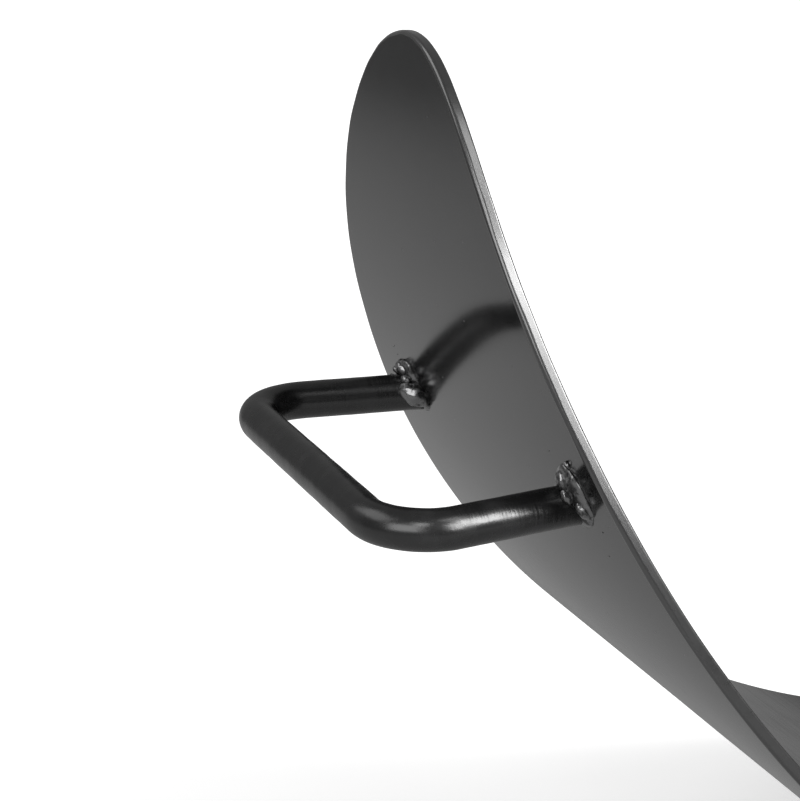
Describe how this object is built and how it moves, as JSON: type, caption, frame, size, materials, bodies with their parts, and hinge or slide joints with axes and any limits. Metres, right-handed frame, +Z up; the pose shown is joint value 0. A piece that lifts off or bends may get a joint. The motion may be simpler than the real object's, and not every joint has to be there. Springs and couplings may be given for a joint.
{
  "type": "log holder",
  "caption": "Open log holder for the hearth: an oval steel sheet rolled into a boat-shaped cradle, with a round-rod handle welded to each end wall and low flat-bar feet.",
  "frame": {"origin": "on the floor, under the middle of the cradle", "axes": "+Z up, Y along the logs, X from the left handle to the right handle"},
  "size_m": [0.6204, 0.22, 0.2706],
  "materials": {
    "sheet_paint": "smooth satin dark grey enamel on rolled steel sheet",
    "rod_paint": "satin black-grey enamel on round steel rod",
    "bead_paint": "glossy black enamel over lumpy weld beads"
  },
  "bodies": {
    "root": {"cradle_sheet": "sheet_paint", "handle_left": "rod_paint", "handle_right": "rod_paint", "handle_weld_left_front": "bead_paint", "handle_weld_left_rear": "bead_paint", "handle_weld_right_front": "bead_paint", "handle_weld_right_rear": "bead_paint", "foot_front": "sheet_paint", "foot_rear": "sheet_paint", "foot_weld_front_left": "bead_paint", "foot_weld_front_right": "bead_paint", "foot_weld_rear_left": "bead_paint", "foot_weld_rear_right": "bead_paint"}
  },
  "joints": []
}
